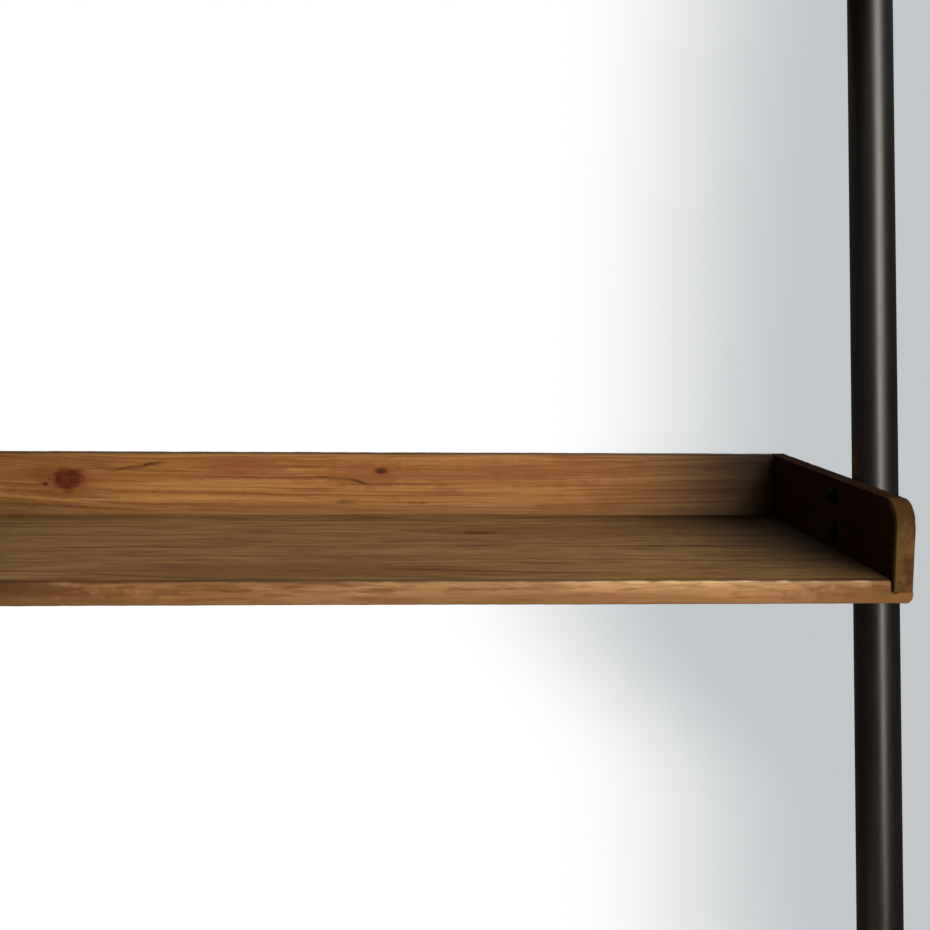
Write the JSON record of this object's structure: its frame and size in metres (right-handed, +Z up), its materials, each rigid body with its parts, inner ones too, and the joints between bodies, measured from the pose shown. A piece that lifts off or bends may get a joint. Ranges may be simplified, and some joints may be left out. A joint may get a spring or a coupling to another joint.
{
  "type": "ladder shelf",
  "caption": "Wall-leaning ladder shelf with open wooden trays, deeper towards the floor, between two leaning round steel tube posts.",
  "frame": {"origin": "on the floor, midway across the width and midway between the front of the lowest tray and the wall", "axes": "+X to the right as seen from the front, +Y back towards the wall, +Z up"},
  "size_m": [0.902, 0.427, 1.9042],
  "materials": {
    "tray_wood": "oiled",
    "deck_wood": "oiled",
    "dark_bronze_steel": "satin",
    "black_plastic": "matte",
    "black_steel": "satin",
    "zinc_steel": "satin",
    "sole_rubber": "matte",
    "dowel_wood": "bare"
  },
  "bodies": {
    "frame": {"left_post": "dark_bronze_steel", "right_post": "dark_bronze_steel", "left_top_cap": "black_plastic", "right_top_cap": "black_plastic", "tray_1_deck": "deck_wood", "tray_1_back_rail": "tray_wood", "tray_1_left_cheek": "tray_wood", "tray_1_right_cheek": "tray_wood", "tray_2_deck": "deck_wood", "tray_2_back_rail": "tray_wood", "tray_2_left_cheek": "tray_wood", "tray_2_right_cheek": "tray_wood", "tray_3_deck": "deck_wood", "tray_3_back_rail": "tray_wood", "tray_3_left_cheek": "tray_wood", "tray_3_right_cheek": "tray_wood", "tray_4_deck": "deck_wood", "tray_4_back_rail": "tray_wood", "tray_4_left_cheek": "tray_wood", "tray_4_right_cheek": "tray_wood", "dowels": "dowel_wood", "wood_screws": "zinc_steel", "tray_bolts": "black_steel", "bolt_washers": "black_steel", "rivet_nuts": "zinc_steel", "left_tray_saddles": "black_plastic", "right_tray_saddles": "black_plastic", "left_foot_insert": "black_plastic", "right_foot_insert": "black_plastic", "left_lock_nut": "zinc_steel", "right_lock_nut": "zinc_steel", "bracket_bolts": "black_steel", "bracket_washers": "black_steel", "bracket_saddles": "black_plastic"},
    "left_stem": {"left_foot_stem": "zinc_steel"},
    "left_pad": {"left_foot_pad": "black_plastic", "left_foot_sole": "sole_rubber"},
    "left_bracket": {"left_wall_bracket": "dark_bronze_steel"},
    "right_stem": {"right_foot_stem": "zinc_steel"},
    "right_pad": {"right_foot_pad": "black_plastic", "right_foot_sole": "sole_rubber"},
    "right_bracket": {"right_wall_bracket": "dark_bronze_steel"}
  },
  "joints": [
    {"name": "left_foot_adjust", "type": "slide", "parent": "frame", "child": "left_stem", "axis": [0, -0.1532, -0.9882], "range_m": [0, 0.015]},
    {"name": "left_pad_swivel", "type": "hinge", "parent": "left_stem", "child": "left_pad", "pos_m": [-0.431, -0.10198, 0.0125], "axis": [1, 0, 0], "range_deg": [-24, 7]},
    {"name": "left_bracket_pivot", "type": "hinge", "parent": "frame", "child": "left_bracket", "pos_m": [-0.40865, 0.18192, 1.84365], "axis": [1, 0, 0], "range_deg": [-15, 15]},
    {"name": "right_foot_adjust", "type": "slide", "parent": "frame", "child": "right_stem", "axis": [0, -0.1532, -0.9882], "range_m": [0, 0.015]},
    {"name": "right_pad_swivel", "type": "hinge", "parent": "right_stem", "child": "right_pad", "pos_m": [0.431, -0.10198, 0.0125], "axis": [1, 0, 0], "range_deg": [-24, 7]},
    {"name": "right_bracket_pivot", "type": "hinge", "parent": "frame", "child": "right_bracket", "pos_m": [0.40865, 0.18192, 1.84365], "axis": [1, 0, 0], "range_deg": [-15, 15]}
  ]
}
